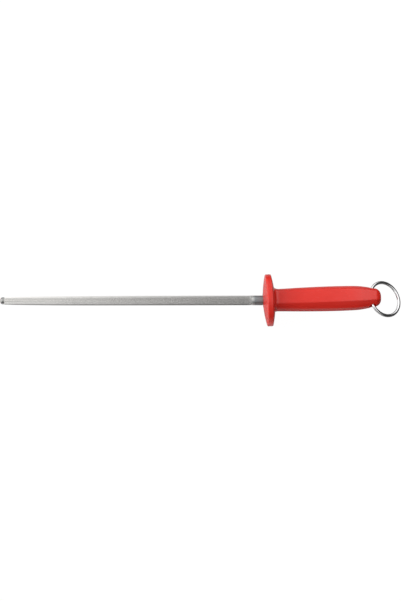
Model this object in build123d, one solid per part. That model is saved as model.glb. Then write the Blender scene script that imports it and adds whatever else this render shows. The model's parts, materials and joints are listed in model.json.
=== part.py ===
from build123d import *
import os
from math import cos, pi, radians, sin, sqrt

# Butcher's sharpening steel, all sizes in millimetres.
# The rod's axis is X, with its tip towards -X and the handle towards +X. Z is up, square to the
# broad flat of the grip, and Y runs along the hole for the hanging ring. The origin is on the rod's
# axis, at the handle end of the bare shank, just in front of the guard.

# Rod: a round forging with fine lengthwise flutes, a plain shank at the guard and a plain nose.
ROD_LENGTH = 300.0
SHANK_LENGTH = 9.5
SHANK_DIAMETER = 11.1
FLUTE_COUNT = 48
FLUTE_DEPTH = 0.25
# Crest diameter of the fluted length, as (distance in front of the origin, diameter). The rod is
# almost parallel, and narrows over its last third.
FLUTED_PROFILE = [
    (SHANK_LENGTH, 11.0),
    (149.0, 11.0),
    (205.0, 10.85),
    (237.0, 10.55),
    (272.0, 9.7),
    (286.0, 9.15),
    (295.3, 8.5),
]
NOSE_DIAMETER = 8.0
NOSE_ROUNDING = 2.6

# Tang: the hidden end of the same forging. A seat thinner than the shank fills the mouth of the
# moulding, and two grooves in the tang key the plastic.
SEAT_DIAMETER = 10.2
SEAT_END_X = 9.0
TANG_DIAMETER = 8.0
TANG_END_X = 86.0
TANG_END_CHAMFER = 1.5
TANG_GROOVES_X = (34.0, 62.0)
TANG_GROOVE_WIDTH = 6.0
TANG_GROOVE_DEPTH = 1.2

# Guard: a lens-shaped disc that is part of the handle's moulding.
GUARD_DIAMETER = 59.6
GUARD_THICKNESS = 13.8
GUARD_DOME_RADIUS = 118.0
GUARD_LAND_RADIUS = 7.5
GUARD_RIM_ROUNDING = 1.4
GUARD_BACK_FILLET = 2.5
GUARD_ROOT_BAND = 2.5

# Grip: a slightly barrelled octagon. Its outline is half its breadth across the two corners that
# stand widest when it is rolled by GRIP_ROLL, given as (distance behind the guard's front crown, half).
GRIP_ROLL = 20.0
GRIP_OUTLINE = [
    (6.0, 12.9),
    (20.0, 13.05),
    (45.0, 13.85),
    (75.0, 14.35),
    (98.0, 14.2),
    (110.0, 13.7),
    (119.0, 12.4),
    (128.3, 10.6),
]
GRIP_WIDEST = 16.0
GRIP_END_X = 134.8
BUTT_HALF = 9.6
BUTT_ROUNDING = 6.0
BUTT_STEPS = 4
# The grip is broader along the hole than it is deep. The flats are given as parts of the outline.
DEPTH_RATIO = 0.823
BROAD_FLAT_AT_GUARD = 0.60
BROAD_FLAT_AT_BUTT = 0.50
SIDE_FLAT_AT_GUARD = 0.36
SIDE_FLAT_AT_BUTT = 0.30
CORNER_ROUNDING_RATIO = 0.14

# The moulding is a little out of true with the rod, and its guard a little out of true with its grip.
# Its front land stands clear of the shank's end by as much as that lean needs.
MOULDING_SETBACK = 0.45
MOULDING_SHIFT = -0.28
GRIP_LEAN = 1.6
GUARD_LEAN = 1.5

# Hanging ring: one closed ring of round wire, loose in a cross hole near the butt.
HOLE_X = 125.0
HOLE_DIAMETER = 8.2
HOLE_MOUTH_ROUNDING = 1.0
EDGE_TOLERANCE = 0.05
RING_RADIUS = 20.0
RING_WIRE_DIAMETER = 3.6
RING_REACH = 17.9
RING_SIDE_SHIFT = 0.85
RING_SWING = 29.0


def shank_and_tang():
    """Plain round length from the flutes to the end of the tang, turned about X."""
    shank = SHANK_DIAMETER / 2
    seat = SEAT_DIAMETER / 2
    tang = TANG_DIAMETER / 2
    profile = Polyline(
        (-SHANK_LENGTH, 0),
        (-SHANK_LENGTH, shank),
        (0, shank),
        (0, seat),
        (SEAT_END_X, seat),
        (SEAT_END_X, tang),
        (TANG_END_X - TANG_END_CHAMFER, tang),
        (TANG_END_X, tang - TANG_END_CHAMFER),
        (TANG_END_X, 0),
        (-SHANK_LENGTH, 0),
    )
    turned = revolve(make_face(profile), Axis.X)
    for groove_x in TANG_GROOVES_X:
        band = Cylinder(tang, TANG_GROOVE_WIDTH) - Cylinder(tang - TANG_GROOVE_DEPTH, TANG_GROOVE_WIDTH)
        turned -= Pos(groove_x, 0, 0) * Rot(0, 90, 0) * band
    return turned


def flute_section(distance, crest_diameter):
    """Star-shaped section of the fluted rod: a crest and a root for each flute."""
    crest = crest_diameter / 2
    points = []
    for index in range(2 * FLUTE_COUNT):
        angle = pi * index / FLUTE_COUNT
        radius = crest - FLUTE_DEPTH * (index % 2)
        points.append((-distance, radius * cos(angle), radius * sin(angle)))
    return make_face(Polyline(*points, close=True))


def fluted_length():
    """Straight-sided loft through the sections of the fluted rod."""
    sections = [flute_section(distance, diameter) for distance, diameter in FLUTED_PROFILE]
    return loft(sections, ruled=True)


def nose():
    """Plain polished end of the rod, with a rounded rim and a blunt face."""
    root_x = -FLUTED_PROFILE[-1][0]
    root = FLUTED_PROFILE[-1][1] / 2 - FLUTE_DEPTH
    rim = NOSE_DIAMETER / 2
    rim_x = -ROD_LENGTH + NOSE_ROUNDING
    face = rim - NOSE_ROUNDING
    diagonal = NOSE_ROUNDING * (1 - sqrt(0.5))
    outline = [
        Polyline((root_x, 0), (root_x, root), (rim_x, rim)),
        ThreePointArc((rim_x, rim), (-ROD_LENGTH + diagonal, rim - diagonal), (-ROD_LENGTH, face)),
        Polyline((-ROD_LENGTH, face), (-ROD_LENGTH, 0), (root_x, 0)),
    ]
    return revolve(make_face(outline), Axis.X)


def make_rod():
    return shank_and_tang() + fluted_length() + nose()


def place_on_rod(shape):
    """Moves a shape from the moulding's own frame, front crown at its origin, to its place."""
    return Pos(MOULDING_SETBACK, MOULDING_SHIFT, 0) * Rot(0, 0, GRIP_LEAN) * shape


def dome_drop(radius):
    """How far a guard face has fallen back from its crown at a radius."""
    return GUARD_DOME_RADIUS - sqrt(GUARD_DOME_RADIUS**2 - radius**2)


def make_guard():
    """Lens-shaped disc, turned about X, with a flat land round the shank at its crown."""
    land = GUARD_LAND_RADIUS
    rim = GUARD_DIAMETER / 2
    middle = (land + rim) / 2
    front_rim_x = dome_drop(rim)
    back_rim_x = GUARD_THICKNESS - front_rim_x
    back_middle_x = GUARD_THICKNESS - dome_drop(middle)
    outline = [
        Line((0, 0), (0, land)),
        ThreePointArc((0, land), (dome_drop(middle), middle), (front_rim_x, rim)),
        Line((front_rim_x, rim), (back_rim_x, rim)),
        ThreePointArc((back_rim_x, rim), (back_middle_x, middle), (GUARD_THICKNESS, land)),
        Polyline((GUARD_THICKNESS, land), (GUARD_THICKNESS, 0), (0, 0)),
    ]
    section = make_face(outline)
    rim_corners = section.vertices().group_by(Axis.Y)[-1]
    return Rot(0, 0, GUARD_LEAN) * revolve(fillet(rim_corners, GUARD_RIM_ROUNDING), Axis.X)


def grip_section(station_x, half):
    """Octagon with rounded corners, square to the grip's axis."""
    along = min(max(station_x / GRIP_END_X, 0), 1)
    broad_flat = half * (BROAD_FLAT_AT_GUARD + (BROAD_FLAT_AT_BUTT - BROAD_FLAT_AT_GUARD) * along)
    side_flat = half * (SIDE_FLAT_AT_GUARD + (SIDE_FLAT_AT_BUTT - SIDE_FLAT_AT_GUARD) * along)
    breadth = (half - side_flat * sin(radians(GRIP_ROLL))) / cos(radians(GRIP_ROLL))
    depth = half * DEPTH_RATIO
    quarter = [(breadth, side_flat), (broad_flat, depth)]
    corners = quarter + [(-y, z) for y, z in reversed(quarter)]
    corners += [(-y, -z) for y, z in quarter] + [(y, -z) for y, z in reversed(quarter)]
    sketch = make_face(Polyline(*corners, close=True))
    sketch = fillet(sketch.vertices(), CORNER_ROUNDING_RATIO * half)
    section_plane = Plane(origin=(station_x, 0, 0), x_dir=(0, 1, 0), z_dir=(1, 0, 0))
    return section_plane * sketch


def butt_stations():
    """Stations of the rounded butt: the taper goes on, less a quarter-round to the end face."""
    start_x, start_half = GRIP_OUTLINE[-1]
    stations = []
    for step in range(BUTT_STEPS + 1):
        turn = radians(90 * step / BUTT_STEPS)
        station_x = start_x + (GRIP_END_X - start_x) * sin(turn)
        taper = start_half + (BUTT_HALF - start_half) * sin(turn)
        stations.append((station_x, taper - BUTT_ROUNDING * (1 - cos(turn))))
    return stations


def make_grip():
    body = loft([grip_section(x, half) for x, half in GRIP_OUTLINE])
    butt = loft([grip_section(x, half) for x, half in butt_stations()])
    return body + butt


def round_guard_root(moulding):
    """Fillet where the grip's flats run out of the guard's back face."""
    root_edges = []
    for edge in moulding.edges():
        centre = edge.center()
        off_axis = sqrt(centre.Y**2 + centre.Z**2)
        if abs(centre.X - GUARD_THICKNESS) < GUARD_ROOT_BAND and off_axis < GRIP_WIDEST:
            root_edges.append(edge)
    return fillet(root_edges, GUARD_BACK_FILLET)


def round_hole_mouths(moulding):
    """Fillet the two mouths of the cross hole, so the ring doesn't turn over a sharp edge."""
    mouth_edges = []
    for edge in moulding.edges():
        middle = edge @ 0.5
        off_axis = sqrt((middle.X - HOLE_X) ** 2 + middle.Z**2)
        at_mouth = abs(edge.center().Y) > GRIP_OUTLINE[0][1] / 2
        if at_mouth and off_axis < HOLE_DIAMETER / 2 + EDGE_TOLERANCE:
            mouth_edges.append(edge)
    return fillet(mouth_edges, HOLE_MOUTH_ROUNDING)


def make_handle(rod):
    """Grip and guard in one moulding, closed round the tang, with the cross hole for the ring."""
    moulding = round_guard_root(make_grip() + make_guard())
    hole = Pos(HOLE_X, 0, 0) * Rot(90, 0, 0) * Cylinder(HOLE_DIAMETER / 2, 2 * GRIP_WIDEST)
    return place_on_rod(round_hole_mouths(moulding - hole)) - rod


def make_hanging_ring():
    """Closed wire ring through the hole, swung down by RING_SWING from the grip's axis."""
    ring = Pos(RING_REACH, RING_SIDE_SHIFT, 0) * Torus(RING_RADIUS, RING_WIRE_DIAMETER / 2)
    return place_on_rod(Pos(HOLE_X, 0, 0) * Rot(0, RING_SWING, 0) * ring)


os.makedirs("parts", exist_ok=True)
rod = make_rod()
nodes = {
    "rod": rod,
    "handle": make_handle(rod),
    "hanging_ring": make_hanging_ring(),
}
for name, solid in nodes.items():
    export_step(solid, f"parts/{name}.step")
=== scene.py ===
import json
import math

import bmesh
import bpy
from mathutils import Matrix, Vector


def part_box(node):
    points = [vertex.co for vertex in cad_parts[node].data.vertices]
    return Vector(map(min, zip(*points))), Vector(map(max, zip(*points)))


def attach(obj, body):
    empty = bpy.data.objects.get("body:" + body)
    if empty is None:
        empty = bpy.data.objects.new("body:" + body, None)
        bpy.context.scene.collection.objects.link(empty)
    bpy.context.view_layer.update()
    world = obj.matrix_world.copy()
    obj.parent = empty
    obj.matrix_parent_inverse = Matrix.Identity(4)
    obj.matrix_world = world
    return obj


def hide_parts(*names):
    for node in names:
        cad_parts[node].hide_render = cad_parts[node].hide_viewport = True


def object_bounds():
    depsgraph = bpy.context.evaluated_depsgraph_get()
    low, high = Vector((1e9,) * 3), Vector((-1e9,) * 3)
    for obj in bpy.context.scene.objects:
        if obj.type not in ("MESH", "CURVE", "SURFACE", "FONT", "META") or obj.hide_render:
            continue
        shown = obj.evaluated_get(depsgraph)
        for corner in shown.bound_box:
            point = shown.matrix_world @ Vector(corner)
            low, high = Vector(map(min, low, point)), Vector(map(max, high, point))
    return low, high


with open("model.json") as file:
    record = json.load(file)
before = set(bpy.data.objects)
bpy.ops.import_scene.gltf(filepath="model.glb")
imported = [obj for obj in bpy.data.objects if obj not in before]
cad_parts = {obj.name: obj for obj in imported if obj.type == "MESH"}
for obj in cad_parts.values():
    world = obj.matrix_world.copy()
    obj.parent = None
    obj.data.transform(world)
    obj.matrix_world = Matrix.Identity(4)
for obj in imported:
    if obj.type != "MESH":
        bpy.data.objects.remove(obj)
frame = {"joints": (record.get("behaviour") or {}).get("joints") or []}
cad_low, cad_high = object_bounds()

MM = 0.001
JOINT = frame["joints"][0]
HINGE = Vector(JOINT["pos_m"])
HINGE_AXIS = Vector(JOINT["axis"])

# The moulding leans from the rod's axis, X, by the angle of the ring's hole from Y.
GRIP_LEAN = math.atan2(-HINGE_AXIS.x, HINGE_AXIS.y)
GUARD_LEAN = math.radians(1.5)
MOULDING_SETBACK = 0.45 * MM
MOULDING_SHIFT = -0.28 * MM
MOULDING = Matrix.Translation((MOULDING_SETBACK, MOULDING_SHIFT, 0)) @ Matrix.Rotation(GRIP_LEAN, 4, "Z")

# Rod, as distances in front of the origin.
ROD_TIP = -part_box("rod")[0].x
ROD_SHANK_END = 9.5 * MM
SHANK_RADIUS = 5.55 * MM
SHANK_CHAMFER = 0.1 * MM
# Crest radius of the fluted length, as (distance, radius) in millimetres.
FLUTED_OUTLINE = [
    (9.5, 5.5),
    (149, 5.5),
    (205, 5.425),
    (237, 5.275),
    (272, 4.85),
    (286, 4.575),
    (295.3, 4.25),
]
FLUTE_COUNT = 48
FLUTE_DEPTH = 0.25 * MM
NOSE_STEP = 1.1 * FLUTE_DEPTH
FLUTE_POINTS = 6
FLUTE_RUN_OUT = 6 * MM
NOSE_RADIUS = 4.0 * MM
NOSE_ROUNDING = 2.6 * MM
NOSE_LENGTH = 4.7 * MM
NOSE_ROWS = 10
FLUTE_ROWS = 120

# Tang, hidden in the moulding. The seat is (radius, end).
SEAT = (5.1 * MM, 9.0 * MM)
TANG_RADIUS = 4.0 * MM
TANG_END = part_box("rod")[1].x
TANG_CHAMFER = 1.5 * MM
TANG_GROOVES = [34 * MM, 62 * MM]
GROOVE_WIDTH = 6 * MM
GROOVE_DEPTH = 1.2 * MM

# Guard, as distances behind its front crown.
GUARD_RADIUS = 29.8 * MM
GUARD_THICKNESS = 13.8 * MM
DOME_RADIUS = 118 * MM
LAND_RADIUS = 7.5 * MM
RIM_ROUNDING = 1.4 * MM
FACE_RADIUS = GUARD_RADIUS - RIM_ROUNDING
ROOT_FILLET = (2.3 * MM, 0.7 * MM)
ROOT_FILLET_LENGTH = 4.5 * MM

# Grip: (distance behind the guard's crown, half outline) in millimetres, and how its octagon is cut.
# Pairs of values are at the guard and at the butt.
GRIP_ROLL = math.radians(20)
GRIP_OUTLINE = [
    (6, 12.9),
    (20, 13.05),
    (45, 13.85),
    (75, 14.35),
    (98, 14.2),
    (110, 13.7),
    (119, 12.4),
    (128.3, 10.6),
]
BUTT_START = GRIP_OUTLINE[-1][0] * MM
GRIP_END = 134.8 * MM
BUTT_HALF = 9.6 * MM
BUTT_ROUNDING = 6 * MM
DEPTH_RATIO = 0.823
BROAD_FLAT = (0.60, 0.50)
SIDE_FLAT = (0.36, 0.30)
CORNER_ROUNDING = (3.6 * MM, 1.6 * MM)
CORNER_ROUNDING_FALL = 0.6
MOST_ROUNDING = 0.32
FLAT_CROWN = 0.22 * MM
FULL_CROWN_HALF = 10 * MM
CORNER_POINTS = 8
FLAT_POINTS = 8
GRIP_ROWS = 80
BUTT_ROWS = 14
BUTT_FACE_SHARES = (0.66, 0.33)

# Ring and its hole.
RING_RADIUS = 20 * MM
WIRE_RADIUS = 1.8 * MM
RING_REACH = 17.9 * MM
RING_SIDE_SHIFT = 0.85 * MM
RING_SWING = math.radians(29)
HOLE_X = 125 * MM
HOLE_RADIUS = 4.1 * MM
MOUTH_ROUNDING = 1.0 * MM
# Rounded mouth of the hole, as (rise, spread) in parts of the rounding.
MOUTH_FLARE = [
    (0.0, 0.0),
    (0.35, 0.06),
    (0.65, 0.22),
    (0.86, 0.48),
    (1.0, 0.86),
    (1.06, 1.35),
    (1.12, 2.4),
]
HOLE_POINTS = 64
CUTTER_HALF = 20 * MM
RING_AROUND = 192
RING_ACROSS = 32


def smooth(outline, x):
    """Smooth curve through (x, y) points: cubic Hermite with finite-difference slopes."""
    last = len(outline) - 1
    index = 0
    while index < last - 1 and x > outline[index + 1][0]:
        index += 1
    slopes = []
    for k in (index, index + 1):
        low, high = outline[max(k - 1, 0)], outline[min(k + 1, last)]
        slopes.append((high[1] - low[1]) / (high[0] - low[0]))
    (x0, y0), (x1, y1) = outline[index], outline[index + 1]
    span = x1 - x0
    t = (x - x0) / span
    return (
        y0 * (2 * t**3 - 3 * t**2 + 1)
        + slopes[0] * span * (t**3 - 2 * t**2 + t)
        + y1 * (3 * t**2 - 2 * t**3)
        + slopes[1] * span * (t**3 - t**2)
    )


def spaced(start, end, steps):
    """Evenly spaced values from start to end, both included."""
    return [start + (end - start) * k / steps for k in range(steps + 1)]


def skin(name, rings):
    """Closed mesh over rings with the same number of points. The first and last are single points."""
    mesh = bpy.data.meshes.new(name)
    points = [rings[0][0]]
    for ring in rings[1:-1]:
        points.extend(ring)
    points.append(rings[-1][0])
    count = len(rings[1])
    faces = []
    last = len(points) - 1
    final = last - count
    for j in range(count):
        k = (j + 1) % count
        faces.append((0, 1 + k, 1 + j))
        faces.append((last, final + j, final + k))
    for i in range(len(rings) - 3):
        base = 1 + i * count
        for j in range(count):
            k = (j + 1) % count
            faces.append((base + j, base + k, base + count + k, base + count + j))
    mesh.from_pydata(points, [], faces)
    bm = bmesh.new()
    bm.from_mesh(mesh)
    bmesh.ops.recalc_face_normals(bm, faces=bm.faces)
    bm.to_mesh(mesh)
    bm.free()
    piece = bpy.data.objects.new(name, mesh)
    bpy.context.scene.collection.objects.link(piece)
    return piece


def shade(piece, sharp_angle):
    """Smooth shading, with edges sharper than an angle in degrees kept crisp."""
    piece.data.shade_smooth()
    piece.data.set_sharp_from_angle(angle=math.radians(sharp_angle))


# ---------------------------------------------------------------- rod

def tang_outline():
    """(x, radius) of the hidden end from the bare shank to the tang's end."""
    seat_radius, seat_end = SEAT
    outline = [(0, seat_radius), (seat_end, seat_radius), (seat_end, TANG_RADIUS)]
    for groove in TANG_GROOVES:
        start, end = groove - GROOVE_WIDTH / 2, groove + GROOVE_WIDTH / 2
        floor = TANG_RADIUS - GROOVE_DEPTH
        outline += [(start, TANG_RADIUS), (start, floor), (end, floor), (end, TANG_RADIUS)]
    outline += [(TANG_END - TANG_CHAMFER, TANG_RADIUS), (TANG_END, TANG_RADIUS - TANG_CHAMFER)]
    return outline


def ease(t):
    """Smooth step from 0 to 1."""
    return t * t * (3 - 2 * t)


def flute_cut(turn):
    """Depth of the flutes at a turn about the axis, from 0 on a crest to 1 in a round-bottomed root."""
    along = (turn * FLUTE_COUNT / math.tau) % 1
    return 4 * along * (1 - along)


def rod_ring(x, radius, cut, count):
    """Ring of the rod at x, with flutes cut to a depth."""
    ring = []
    for j in range(count):
        turn = math.tau * j / count
        r = radius - cut * flute_cut(turn)
        ring.append((x, r * math.cos(turn), r * math.sin(turn)))
    return ring


def nose_rows():
    """(distance, radius) rows of the polished nose, from its face back to the flutes."""
    start = ROD_TIP - NOSE_ROUNDING
    rows = []
    for turn in spaced(0, math.pi / 2, NOSE_ROWS):
        distance = start + NOSE_ROUNDING * math.cos(turn)
        rows.append((distance, NOSE_RADIUS - NOSE_ROUNDING + NOSE_ROUNDING * math.sin(turn)))
    return rows


def build_rod():
    """Whole forging: polished nose, fluted length, bare shank, seat and tang."""
    count = FLUTE_COUNT * FLUTE_POINTS
    rings = [[(-ROD_TIP, 0, 0)]]
    for distance, radius in nose_rows():
        rings.append(rod_ring(-distance, radius, 0, count))
    flutes_start = ROD_TIP - NOSE_LENGTH
    root = FLUTED_OUTLINE[-1][1] * MM - NOSE_STEP
    rings.append(rod_ring(-flutes_start, root, 0, count))
    for distance in spaced(flutes_start, ROD_SHANK_END, FLUTE_ROWS):
        crest = smooth(FLUTED_OUTLINE, distance / MM) * MM
        run_out = min(1, (distance - ROD_SHANK_END) / FLUTE_RUN_OUT)
        rings.append(rod_ring(-distance, crest, FLUTE_DEPTH * ease(run_out), count))
    rings.append(rod_ring(-ROD_SHANK_END, SHANK_RADIUS - SHANK_CHAMFER, 0, count))
    rings.append(rod_ring(-ROD_SHANK_END + SHANK_CHAMFER, SHANK_RADIUS, 0, count))
    rings.append(rod_ring(0, SHANK_RADIUS, 0, count))
    for x, radius in tang_outline():
        rings.append(rod_ring(x, radius, 0, count))
    rings.append([(TANG_END, 0, 0)])
    piece = skin("fluted_rod", rings)
    shade(piece, 40)
    return piece


# ---------------------------------------------------------------- handle

def blend(pair, along):
    """Value part of the way along a pair."""
    return pair[0] + (pair[1] - pair[0]) * along


def octagon(x, half):
    """Rounded octagon of the grip at x as (y, z) points, with slightly crowned flats."""
    along = min(max(x / GRIP_END, 0), 1)
    broad = half * blend(BROAD_FLAT, along)
    side = half * blend(SIDE_FLAT, along)
    breadth = (half - side * math.sin(GRIP_ROLL)) / math.cos(GRIP_ROLL)
    depth = half * DEPTH_RATIO
    quarter = [(breadth, side), (broad, depth)]
    corners = quarter + [(-y, z) for y, z in reversed(quarter)]
    corners += [(-y, -z) for y, z in quarter] + [(y, -z) for y, z in reversed(quarter)]
    corners = [Vector(corner) for corner in corners]
    rounding = min(blend(CORNER_ROUNDING, along**CORNER_ROUNDING_FALL), half * MOST_ROUNDING)
    arcs = []
    for k, corner in enumerate(corners):
        before = (corners[k - 1] - corner).normalized()
        after = (corners[(k + 1) % 8] - corner).normalized()
        opening = before.angle(after)
        reach = rounding / math.tan(opening / 2)
        centre = corner + (before + after).normalized() * rounding / math.sin(opening / 2)
        start = corner + before * reach - centre
        sweep = math.pi - opening
        arcs.append([centre + turned(start, sweep * t) for t in spaced(0, 1, CORNER_POINTS - 1)])
    points = []
    for k, arc in enumerate(arcs):
        points.extend(arc)
        start, end = arc[-1], arcs[(k + 1) % 8][0]
        outward = turned((end - start).normalized(), -math.pi / 2)
        crown = FLAT_CROWN * min(1, half / FULL_CROWN_HALF)
        for t in spaced(0, 1, FLAT_POINTS + 1)[1:-1]:
            points.append(start.lerp(end, t) + outward * crown * 4 * t * (1 - t))
    return points


def turned(vector, angle):
    """A 2-D vector turned anticlockwise."""
    c, s = math.cos(angle), math.sin(angle)
    return Vector((vector.x * c - vector.y * s, vector.x * s + vector.y * c))


def grip_half(x):
    """Half outline of the grip at x, in metres, before the butt is rounded."""
    if x > BUTT_START:
        start = GRIP_OUTLINE[-1][1] * MM
        return start + (BUTT_HALF - start) * (x - BUTT_START) / (GRIP_END - BUTT_START)
    return smooth(GRIP_OUTLINE, x / MM) * MM


def dome_drop(radius):
    """How far a guard face has fallen back from its crown at a radius."""
    return DOME_RADIUS - math.sqrt(DOME_RADIUS**2 - radius**2)


def guard_point(x, radius, direction):
    """Point of the leaning guard at a radius along a unit (y, z) direction."""
    point = Vector((x, radius * direction.x, radius * direction.y))
    return Matrix.Rotation(GUARD_LEAN, 3, "Z") @ point


def guard_rows():
    """(x, radius) rows of the guard from the land at its front crown, over the rim, to its back face."""
    rim_x = dome_drop(GUARD_RADIUS)
    rows = [(0, radius) for radius in spaced(SEAT[0], LAND_RADIUS, 2)]
    rows += [(dome_drop(radius), radius) for radius in spaced(LAND_RADIUS, FACE_RADIUS, 12)[1:]]
    front_x = dome_drop(FACE_RADIUS)
    for turn in spaced(0, math.pi / 2, 6)[1:]:
        x = front_x + RIM_ROUNDING * (1 - math.cos(turn))
        rows.append((x, FACE_RADIUS + RIM_ROUNDING * math.sin(turn)))
    edge_x = front_x + RIM_ROUNDING
    rows += [(x, GUARD_RADIUS) for x in spaced(edge_x, GUARD_THICKNESS - edge_x, 3)[1:-1]]
    for turn in spaced(0, math.pi / 2, 6):
        back_x = GUARD_THICKNESS - front_x - RIM_ROUNDING * (1 - math.sin(turn))
        rows.append((back_x, FACE_RADIUS + RIM_ROUNDING * math.cos(turn)))
    return rows


def build_handle():
    """One closed skin: the tang's cavity, the guard, the fillet behind it, the grip and the butt."""
    neck = octagon(GUARD_THICKNESS, grip_half(GUARD_THICKNESS))
    directions = [point.normalized() for point in neck]
    into_moulding = MOULDING.inverted()
    rings = [[into_moulding @ Vector((TANG_END, 0, 0))]]
    for x, radius in reversed(tang_outline()[1:]):
        rings.append([into_moulding @ Vector((x, radius * d.x, radius * d.y)) for d in directions])
    for x, radius in guard_rows():
        rings.append([guard_point(x, radius, d) for d in directions])
    roots = [root_corner(d, point.length) for d, point in zip(directions, neck)]
    for t in spaced(0, 1, 6)[1:]:
        ring = []
        for d, point in zip(directions, neck):
            radius = blend((FACE_RADIUS, point.length + root_fillet(d)), t)
            ring.append(guard_point(GUARD_THICKNESS - dome_drop(radius), radius, d))
        rings.append(ring)
    grip_start = GUARD_THICKNESS + ROOT_FILLET_LENGTH
    start_section = octagon(grip_start, grip_half(grip_start))
    before = rings[-1]
    for t in spaced(0, 1, 10)[1:-1]:
        ring = []
        for j in range(len(directions)):
            end = Vector((grip_start, *start_section[j]))
            ring.append(bezier(before[j], roots[j], end, t))
        rings.append(ring)
    for x in spaced(grip_start, BUTT_START, GRIP_ROWS):
        rings.append([Vector((x, *point)) for point in octagon(x, grip_half(x))])
    for turn in spaced(0, math.pi / 2, BUTT_ROWS)[1:]:
        x = BUTT_START + (GRIP_END - BUTT_START) * math.sin(turn)
        half = grip_half(x) - BUTT_ROUNDING * (1 - math.cos(turn))
        rings.append([Vector((x, *point)) for point in octagon(x, half)])
    face = rings[-1]
    for share in BUTT_FACE_SHARES:
        rings.append([Vector((point.x, point.y * share, point.z * share)) for point in face])
    rings.append([Vector((GRIP_END, 0, 0))])
    piece = skin("moulded_handle", rings)
    cut_hole(piece)
    piece.data.transform(MOULDING)
    shade(piece, 35)
    return piece


def root_fillet(direction):
    """Size of the fillet behind the guard, larger on the hole's +Y side."""
    size, more = ROOT_FILLET
    return size + more * direction.x


def root_corner(direction, radius):
    """Where the grip's flats would meet the guard's back face with no fillet."""
    return guard_point(GUARD_THICKNESS - dome_drop(radius), radius, direction)


def bezier(a, b, c, t):
    """Point of a quadratic curve from a to c that is pulled toward b."""
    return a * (1 - t) ** 2 + b * 2 * t * (1 - t) + c * t**2


def outline_y(x, z):
    """Half breadth of the grip at x and height z."""
    half = grip_half(x)
    if x > BUTT_START:
        turn = math.asin(min(1, (x - BUTT_START) / (GRIP_END - BUTT_START)))
        half -= BUTT_ROUNDING * (1 - math.cos(turn))
    points = octagon(x, half)
    best = 0
    for a, b in zip(points, points[1:] + points[:1]):
        if min(a.y, b.y) <= z <= max(a.y, b.y) and a.x > 0 and abs(b.y - a.y) > 1e-9:
            best = max(best, a.x + (b.x - a.x) * (z - a.y) / (b.y - a.y))
    return best


def cut_hole(piece):
    """Cuts the ring's cross hole with a cutter that flares to round both mouths."""
    rings = []
    for side in (-1, 1):
        half_rings = []
        for rise, spread in MOUTH_FLARE:
            ring = []
            for j in range(HOLE_POINTS):
                turn = math.tau * j / HOLE_POINTS
                near = HOLE_RADIUS + MOUTH_ROUNDING
                surface = outline_y(HOLE_X + near * math.cos(turn), near * math.sin(turn))
                y = surface - MOUTH_ROUNDING * (1 - rise)
                radius = HOLE_RADIUS + MOUTH_ROUNDING * spread
                x = HOLE_X + radius * math.cos(turn)
                ring.append(Vector((x, side * y, radius * math.sin(turn))))
            half_rings.append(ring)
        outer_y = side * CUTTER_HALF
        half_rings.append([Vector((p.x, outer_y, p.z)) for p in half_rings[-1]])
        if side < 0:
            rings = [[Vector((HOLE_X, outer_y, 0))]] + half_rings[::-1]
        else:
            rings += half_rings + [[Vector((HOLE_X, outer_y, 0))]]
    cutter = skin("hole_cutter", rings)
    modifier = piece.modifiers.new("hole", "BOOLEAN")
    modifier.operation = "DIFFERENCE"
    modifier.solver = "EXACT"
    modifier.object = cutter
    graph = bpy.context.evaluated_depsgraph_get()
    cut = bpy.data.meshes.new_from_object(piece.evaluated_get(graph))
    piece.modifiers.clear()
    piece.data = cut
    bpy.data.objects.remove(cutter)


# ---------------------------------------------------------------- ring

def build_ring():
    """Closed ring of round wire, in its rest pose through the hole."""
    mesh = bpy.data.meshes.new("hanging_wire_ring")
    points, faces = [], []
    for i in range(RING_AROUND):
        turn = math.tau * i / RING_AROUND
        out = Vector((math.cos(turn), math.sin(turn), 0))
        for j in range(RING_ACROSS):
            roll = math.tau * j / RING_ACROSS
            point = out * (RING_RADIUS + WIRE_RADIUS * math.cos(roll))
            points.append(point + Vector((0, 0, WIRE_RADIUS * math.sin(roll))))
            row, next_row = i * RING_ACROSS, (i + 1) % RING_AROUND * RING_ACROSS
            k = (j + 1) % RING_ACROSS
            faces.append((row + j, next_row + j, next_row + k, row + k))
    mesh.from_pydata(points, [], faces)
    place = (
        Matrix.Translation(HINGE)
        @ Matrix.Rotation(GRIP_LEAN, 4, "Z")
        @ Matrix.Rotation(RING_SWING, 4, "Y")
        @ Matrix.Translation((RING_REACH, RING_SIDE_SHIFT, 0))
    )
    mesh.transform(place)
    piece = bpy.data.objects.new("hanging_wire_ring", mesh)
    bpy.context.scene.collection.objects.link(piece)
    mesh.shade_smooth()
    return piece


# ---------------------------------------------------------------- materials

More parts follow.
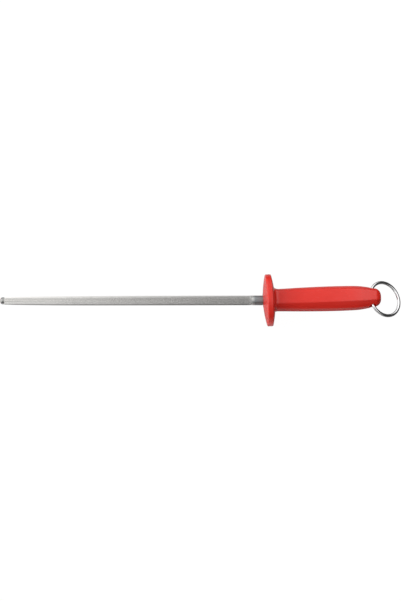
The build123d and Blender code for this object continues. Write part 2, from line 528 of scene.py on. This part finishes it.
class Nodes:
    """Short way to build a node tree."""

    def __init__(self, tree):
        self.tree = tree
        tree.nodes.clear()

    def add(self, kind, inputs=None, **settings):
        node = self.tree.nodes.new(kind)
        for key, value in settings.items():
            setattr(node, key, value)
        for key, value in (inputs or {}).items():
            if isinstance(value, bpy.types.NodeSocket):
                self.tree.links.new(value, node.inputs[key])
            else:
                node.inputs[key].default_value = value
        return node

    def noise(self, vector, scale, detail=3, roughness=0.5):
        values = {"Vector": vector, "Scale": scale, "Detail": detail, "Roughness": roughness}
        return self.add("ShaderNodeTexNoise", values).outputs["Fac"]

    def stretch(self, vector, scale):
        return self.add("ShaderNodeMapping", {"Vector": vector, "Scale": scale}).outputs["Vector"]

    def to_range(self, value, low, high, new_low, new_high):
        values = {0: value, 1: low, 2: high, 3: new_low, 4: new_high}
        return self.add("ShaderNodeMapRange", values).outputs[0]

    def mix(self, factor, a, b):
        node = self.add("ShaderNodeMix", data_type="RGBA")
        for key, value in ((0, factor), (6, a), (7, b)):
            if isinstance(value, bpy.types.NodeSocket):
                self.tree.links.new(value, node.inputs[key])
            else:
                node.inputs[key].default_value = value
        return node.outputs[2]

    def math(self, operation, a, b):
        return self.add("ShaderNodeMath", {0: a, 1: b}, operation=operation).outputs[0]

    def bump(self, height, distance, strength, normal=None):
        values = {"Height": height, "Distance": distance, "Strength": strength}
        if normal is not None:
            values["Normal"] = normal
        return self.add("ShaderNodeBump", values).outputs["Normal"]


def new_material(name):
    """A new node material and its node builder."""
    material = bpy.data.materials.new(name)
    material.use_nodes = True
    return material, Nodes(material.node_tree)


def red_plastic():
    """Satin moulded red plastic with a faint moulded texture, flow mottling and light handling scuffs."""
    material, n = new_material("red_moulded_plastic")
    place = n.add("ShaderNodeTexCoord").outputs["Object"]
    mottle = n.noise(n.stretch(place, (0.5, 1, 1)), 70, 4, 0.6)
    grain = n.noise(place, 900, 3, 0.6)
    scuffs = n.noise(n.stretch(place, (0.25, 1.6, 1.6)), 420, 6, 0.7)
    mottled = n.to_range(mottle, 0.3, 0.7, 0, 1)
    base = n.mix(mottled, (0.74, 0.024, 0.014, 1), (0.79, 0.030, 0.019, 1))
    base = n.mix(n.to_range(scuffs, 0.62, 0.8, 0, 0.2), base, (0.80, 0.10, 0.08, 1))
    rough = n.to_range(scuffs, 0.35, 0.75, 0.20, 0.30)
    height = n.bump(mottle, 0.0004, 0.25)
    normal = n.bump(grain, 0.00006, 0.35, height)
    values = {"Base Color": base, "Roughness": rough, "Normal": normal, "IOR": 1.49}
    shader = n.add("ShaderNodeBsdfPrincipled", values)
    n.add("ShaderNodeOutputMaterial", {"Surface": shader.outputs[0]})
    return material


def steel():
    """Ground steel: satin flutes with lengthwise streaks, a rougher turned shank whose darker colour is
    partly painted shade from the guard beside it, and a polished nose.
    """
    material, n = new_material("sharpening_steel")
    place = n.add("ShaderNodeTexCoord").outputs["Object"]
    x = n.add("ShaderNodeSeparateXYZ", {"Vector": place}).outputs["X"]
    streaks = n.noise(n.stretch(place, (0.006, 1, 1)), 1100, 2, 0.5)
    patches = n.noise(n.stretch(place, (0.06, 1, 1)), 60, 2, 0.5)
    streaked = n.to_range(streaks, 0.3, 0.7, 0, 1)
    fluted = n.mix(streaked, (0.76, 0.75, 0.73, 1), (0.85, 0.84, 0.82, 1))
    fluted = n.mix(n.to_range(patches, 0.4, 0.7, 0, 0.25), fluted, (0.64, 0.63, 0.60, 1))
    on_shank = n.to_range(x, -0.0135, -0.0085, 0, 1)
    on_nose = n.to_range(x, -0.2948, -0.2954, 0, 1)
    # The shank's darker colour is partly its turned finish and partly painted shade from the guard beside it.
    base = n.mix(on_shank, fluted, (0.26, 0.295, 0.30, 1))
    base = n.mix(on_nose, base, (0.34, 0.34, 0.33, 1))
    rough = n.to_range(streaks, 0.3, 0.7, 0.12, 0.20)
    rough = n.math("ADD", rough, n.math("MULTIPLY", on_shank, 0.4))
    rough = n.math("MAXIMUM", n.math("SUBTRACT", rough, on_nose), 0.05)
    normal = n.bump(streaks, 0.00003, 0.4)
    values = {"Base Color": base, "Metallic": 1.0, "Roughness": rough, "Normal": normal}
    shader = n.add("ShaderNodeBsdfPrincipled", values)
    n.add("ShaderNodeOutputMaterial", {"Surface": shader.outputs[0]})
    return material


def chrome():
    """Bright plated wire with faint drawing marks and a little wear."""
    material, n = new_material("plated_wire")
    place = n.add("ShaderNodeTexCoord").outputs["Object"]
    wear = n.noise(place, 240, 5, 0.65)
    worn = n.to_range(wear, 0.5, 0.75, 0, 0.5)
    base = n.mix(worn, (0.93, 0.93, 0.94, 1), (0.72, 0.70, 0.67, 1))
    rough = n.to_range(wear, 0.4, 0.7, 0.05, 0.16)
    normal = n.bump(n.noise(place, 1500, 2, 0.5), 0.00002, 0.15)
    values = {"Base Color": base, "Metallic": 1.0, "Roughness": rough, "Normal": normal}
    shader = n.add("ShaderNodeBsdfPrincipled", values)
    n.add("ShaderNodeOutputMaterial", {"Surface": shader.outputs[0]})
    return material


# ---------------------------------------------------------------- stage

FLOOR_HALF = 6.0
CAMERA_DISTANCE = 1.6
VIEW_WIDTH = 0.4587
CAMERA_X = -0.07105
CAMERA_ELEVATION = math.radians(70)
CAMERA_ROLL = math.radians(-0.1)
IMAGE_SIZE = (401, 601)
SOFTBOX_PLACE = Vector((-0.3, 1.3, 1.6))
SOFTBOX_AIM = Vector((0.05, 0, 0))
SOFTBOX_SIZE = (1.8, 1.2)
SOFTBOX_POWER = 1


def add_camera():
    """Long lens looking down on the steel, square to the rod, with the grip rolled toward it."""
    data = bpy.data.cameras.new("camera")
    view_height = VIEW_WIDTH * IMAGE_SIZE[1] / IMAGE_SIZE[0]
    data.sensor_width = 36
    data.lens = data.sensor_width * CAMERA_DISTANCE / view_height
    data.clip_end = 50
    camera = bpy.data.objects.new("camera", data)
    bpy.context.scene.collection.objects.link(camera)
    back = Vector((0, -math.cos(CAMERA_ELEVATION), math.sin(CAMERA_ELEVATION)))
    camera.rotation_mode = "QUATERNION"
    look = (-back).to_track_quat("-Z", "Y").to_matrix() @ Matrix.Rotation(CAMERA_ROLL, 3, "Z")
    camera.rotation_quaternion = look.to_quaternion()
    camera.location = Vector((CAMERA_X, 0, 0)) + back * CAMERA_DISTANCE
    bpy.context.scene.camera = camera


def add_floor():
    """Plain pale floor under the guard. Seen only in reflections and bounce light, its colour is painted
    light and shade: it dims away from the rod and by the ring.
    """
    material, n = new_material("pale_floor")
    to_camera = n.add("ShaderNodeLightPath").outputs["Is Camera Ray"]
    values = {"Base Color": (0.04, 0.04, 0.04, 1), "Roughness": 1.0, "Specular IOR Level": 0.0}
    values.update({"Emission Color": (1, 1, 1, 1), "Emission Strength": 0.98})
    bright = n.add("ShaderNodeBsdfPrincipled", values)
    place = n.add("ShaderNodeTexCoord").outputs["Object"]
    place = n.add("ShaderNodeSeparateXYZ", {"Vector": place}).outputs
    # Painted light and shade for reflections: a bright pool beside the rod that fades outward, dimmer past
    # the ring's hole.
    near = n.to_range(place["X"], -0.03, 0.02, 0.95, 0.80)
    reach = n.to_range(place["X"], -0.03, 0.02, 0.45, 0.18)
    level = n.to_range(n.math("ABSOLUTE", place["Y"], 0), 0.05, reach, near, 0.08)
    level = n.math("MULTIPLY", level, n.to_range(place["Y"], -0.06, -0.02, 1, 0.6))
    level = n.math("MULTIPLY", level, n.to_range(place["X"], 0.125, 0.15, 1, 0.25))
    dim = n.add("ShaderNodeBsdfDiffuse", {"Color": level})
    mixed = n.add("ShaderNodeMixShader", {0: to_camera, 1: dim.outputs[0], 2: bright.outputs[0]})
    n.add("ShaderNodeOutputMaterial", {"Surface": mixed.outputs[0]})
    mesh = bpy.data.meshes.new("floor")
    corners = [(-1, -1), (1, -1), (1, 1), (-1, 1)]
    points = [(FLOOR_HALF * x, FLOOR_HALF * y, cad_low.z) for x, y in corners]
    mesh.from_pydata(points, [], [(0, 1, 2, 3)])
    floor = bpy.data.objects.new("floor", mesh)
    mesh.materials.append(material)
    bpy.context.scene.collection.objects.link(floor)


def add_softbox():
    """Faint soft light from above and behind, aimed at the guard."""
    data = bpy.data.lights.new("top_softbox", "AREA")
    data.shape = "RECTANGLE"
    data.size, data.size_y = SOFTBOX_SIZE
    data.energy = SOFTBOX_POWER
    light = bpy.data.objects.new("top_softbox", data)
    light.location = SOFTBOX_PLACE
    light.rotation_mode = "QUATERNION"
    light.rotation_quaternion = (SOFTBOX_AIM - SOFTBOX_PLACE).to_track_quat("-Z", "Y")
    bpy.context.scene.collection.objects.link(light)


def add_world():
    """Light tent: bright at the left, dim over the camera, softly lit at the right, dark at the far right."""
    world = bpy.data.worlds.new("studio")
    bpy.context.scene.world = world
    world.use_nodes = True
    n = Nodes(world.node_tree)
    way = n.add("ShaderNodeTexCoord").outputs["Generated"]
    way = n.add("ShaderNodeSeparateXYZ", {"Vector": way}).outputs
    left = n.to_range(way["X"], -0.14, 0.04, 1.25, 0.21)
    right = n.to_range(way["X"], 0.06, 0.18, 0, 1.4)
    level = n.math("ADD", left, right)
    low = n.to_range(way["X"], 0.03, 0.12, 0.6, 0.05)
    for share in (
        n.to_range(way["X"], 0.45, 0.65, 1, 0.03),
        n.to_range(way["Y"], -0.8, -0.3, 0.2, 1),
        n.to_range(way["Z"], 0.0, 0.4, low, 1),
    ):
        level = n.math("MULTIPLY", level, share)
    level = n.math("ADD", level, n.to_range(way["X"], -0.8, -0.5, 1.1, 0))
    to_camera = n.add("ShaderNodeLightPath").outputs["Is Camera Ray"]
    room = n.add("ShaderNodeBackground", {"Color": (1, 1, 1, 1), "Strength": level})
    white = n.add("ShaderNodeBackground", {"Color": (1, 1, 1, 1), "Strength": 1.0})
    mixed = n.add("ShaderNodeMixShader", {0: to_camera, 1: room.outputs[0], 2: white.outputs[0]})
    n.add("ShaderNodeOutputWorld", {"Surface": mixed.outputs[0]})


rod = build_rod()
handle = build_handle()
ring = build_ring()

for piece, body, node, slot, material in (
    (rod, "steel", "rod", "fluted_steel", steel()),
    (handle, "steel", "handle", "moulded_handle", red_plastic()),
    (ring, "ring", "hanging_ring", "plated_wire", chrome()),
):
    piece.data.materials.clear()
    piece.data.materials.append(material)
    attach(piece, body)
    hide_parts(node)

add_world()
add_camera()
add_floor()
add_softbox()
bpy.context.scene.view_settings.view_transform = "Standard"
